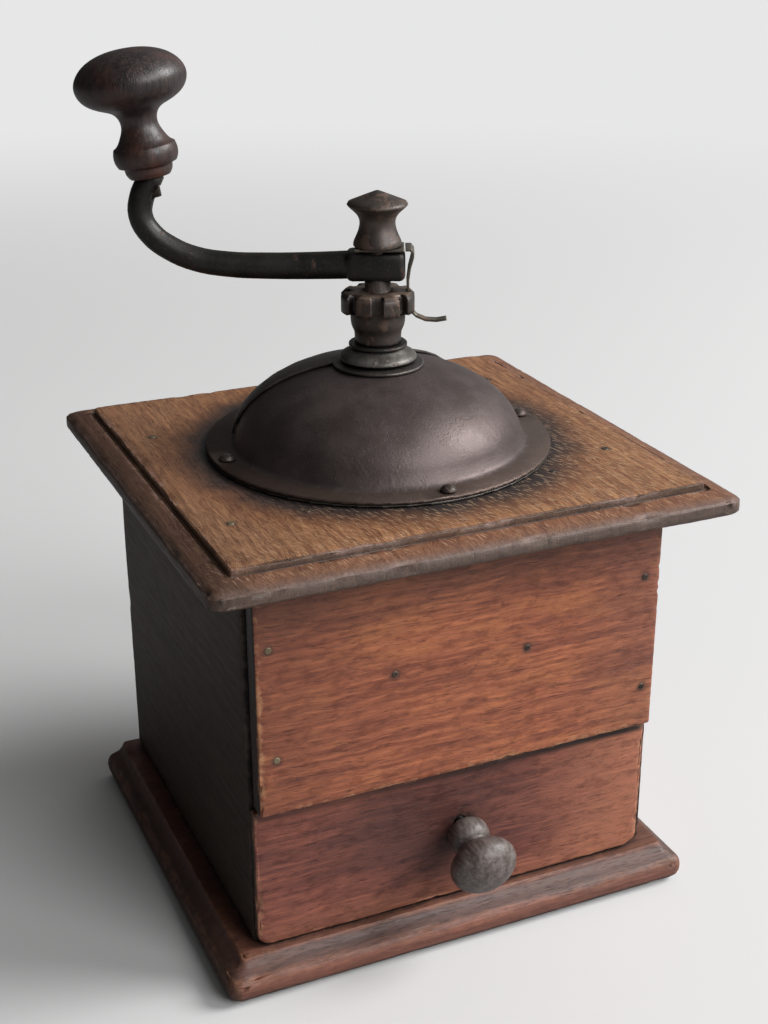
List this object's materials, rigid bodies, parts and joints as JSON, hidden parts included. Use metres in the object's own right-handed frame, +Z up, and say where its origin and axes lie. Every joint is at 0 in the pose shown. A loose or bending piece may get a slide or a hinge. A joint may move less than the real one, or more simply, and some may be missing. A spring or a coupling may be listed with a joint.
{
  "type": "box coffee mill with side crank",
  "caption": "Hand cranked wooden box coffee mill: moulded boards, round iron dome with a swinging cover, cut burrs, bent crank with a turned knob, and a grounds drawer.",
  "frame": {"origin": "centre of the base board's flat underside, under the spindle's axis", "axes": "+Z up along the spindle, the drawer and the front board face -Y, +X to the right seen from the front"},
  "size_m": [0.1544, 0.1548, 0.2464],
  "materials": {
    "front_board": "worn stained and waxed wood",
    "left_side_board": "worn stained and waxed wood",
    "right_side_board": "worn stained and waxed wood",
    "back_board": "worn stained and waxed wood",
    "top_board": "worn stained and waxed wood",
    "base_board": "worn stained and waxed wood",
    "drawer_front": "worn stained and waxed wood",
    "drawer_bottom": "worn stained and waxed wood",
    "drawer_left_side": "worn stained and waxed wood",
    "drawer_right_side": "worn stained and waxed wood",
    "drawer_back": "worn stained and waxed wood",
    "drawer_knob": "worn stained and waxed wood",
    "crank_knob": "worn stained and waxed wood",
    "hopper_funnel": "dark browned sheet iron, worn",
    "dome": "dark browned sheet iron, worn",
    "swing_cover": "dark browned sheet iron, worn",
    "cover_knob": "dark browned sheet iron, worn",
    "thrust_washer": "dark browned sheet iron, worn",
    "neck_bush": "dark iron, as cast or turned",
    "bearing_bridge": "dark iron, as cast or turned",
    "bridge_screw_left": "dark iron, as cast or turned",
    "bridge_screw_right": "dark iron, as cast or turned",
    "burr_screw_1": "dark iron, as cast or turned",
    "burr_screw_2": "dark iron, as cast or turned",
    "burr_screw_3": "dark iron, as cast or turned",
    "drawer_knob_screw": "dark iron, as cast or turned",
    "burr_nut": "dark iron, as cast or turned",
    "spindle": "dark browned forged iron, worn",
    "adjusting_nut": "dark browned forged iron, worn",
    "crank_arm": "dark browned forged iron, worn",
    "knob_pin": "dark browned forged iron, worn",
    "cap_nut": "rusty iron",
    "flange_screw_left": "rusty iron",
    "flange_screw_front": "rusty iron",
    "flange_screw_right": "rusty iron",
    "flange_screw_back": "rusty iron",
    "catch_clip": "browned spring steel",
    "catch_tongue": "browned spring steel",
    "ring_burr": "cut burr steel, dull",
    "cone_burr": "cut burr steel, dull"
  },
  "bodies": {
    "root": {"base_board": "base_board", "left_side_board": "left_side_board", "right_side_board": "right_side_board", "back_board": "back_board", "front_board": "front_board", "top_board": "top_board", "hopper_funnel": "hopper_funnel", "dome": "dome", "flange_screw_left": "flange_screw_left", "flange_screw_front": "flange_screw_front", "flange_screw_right": "flange_screw_right", "flange_screw_back": "flange_screw_back", "neck_bush": "neck_bush", "ring_burr": "ring_burr", "burr_screw_1": "burr_screw_1", "burr_screw_2": "burr_screw_2", "burr_screw_3": "burr_screw_3", "bearing_bridge": "bearing_bridge", "bridge_screw_left": "bridge_screw_left", "bridge_screw_right": "bridge_screw_right"},
    "crank": {"spindle": "spindle", "cone_burr": "cone_burr", "burr_nut": "burr_nut", "thrust_washer": "thrust_washer", "adjusting_nut": "adjusting_nut", "crank_arm": "crank_arm", "catch_clip": "catch_clip", "cap_nut": "cap_nut", "knob_pin": "knob_pin"},
    "catch": {"catch_tongue": "catch_tongue"},
    "crank_knob": {"crank_knob": "crank_knob"},
    "cover": {"swing_cover": "swing_cover", "cover_knob": "cover_knob"},
    "drawer": {"drawer_front": "drawer_front", "drawer_left_side": "drawer_left_side", "drawer_right_side": "drawer_right_side", "drawer_back": "drawer_back", "drawer_bottom": "drawer_bottom", "drawer_knob": "drawer_knob", "drawer_knob_screw": "drawer_knob_screw"}
  },
  "joints": [
    {"name": "crank_turn", "type": "hinge", "parent": "root", "child": "crank", "pos_m": [0, 0, 0.187], "axis": [0, 0, 1], "continuous": true},
    {"name": "knob_spin", "type": "hinge", "parent": "crank", "child": "crank_knob", "pos_m": [-0.05712, 0.02537, 0.212], "axis": [-0.1414, 0.0628, 0.988], "continuous": true},
    {"name": "catch_flex", "type": "hinge", "parent": "crank", "child": "catch", "pos_m": [0.00713, -0.00317, 0.1919], "axis": [-0.4059, -0.9139, 0], "range_deg": [0, 12], "stiffness_Nm_per_rad": 0.05},
    {"name": "cover_swing", "type": "hinge", "parent": "root", "child": "cover", "pos_m": [0, 0, 0.1565], "axis": [0, 0, 1], "range_deg": [-120, 120]},
    {"name": "drawer_slide", "type": "slide", "parent": "root", "child": "drawer", "axis": [0, -1, 0], "range_m": [0, 0.09]}
  ]
}
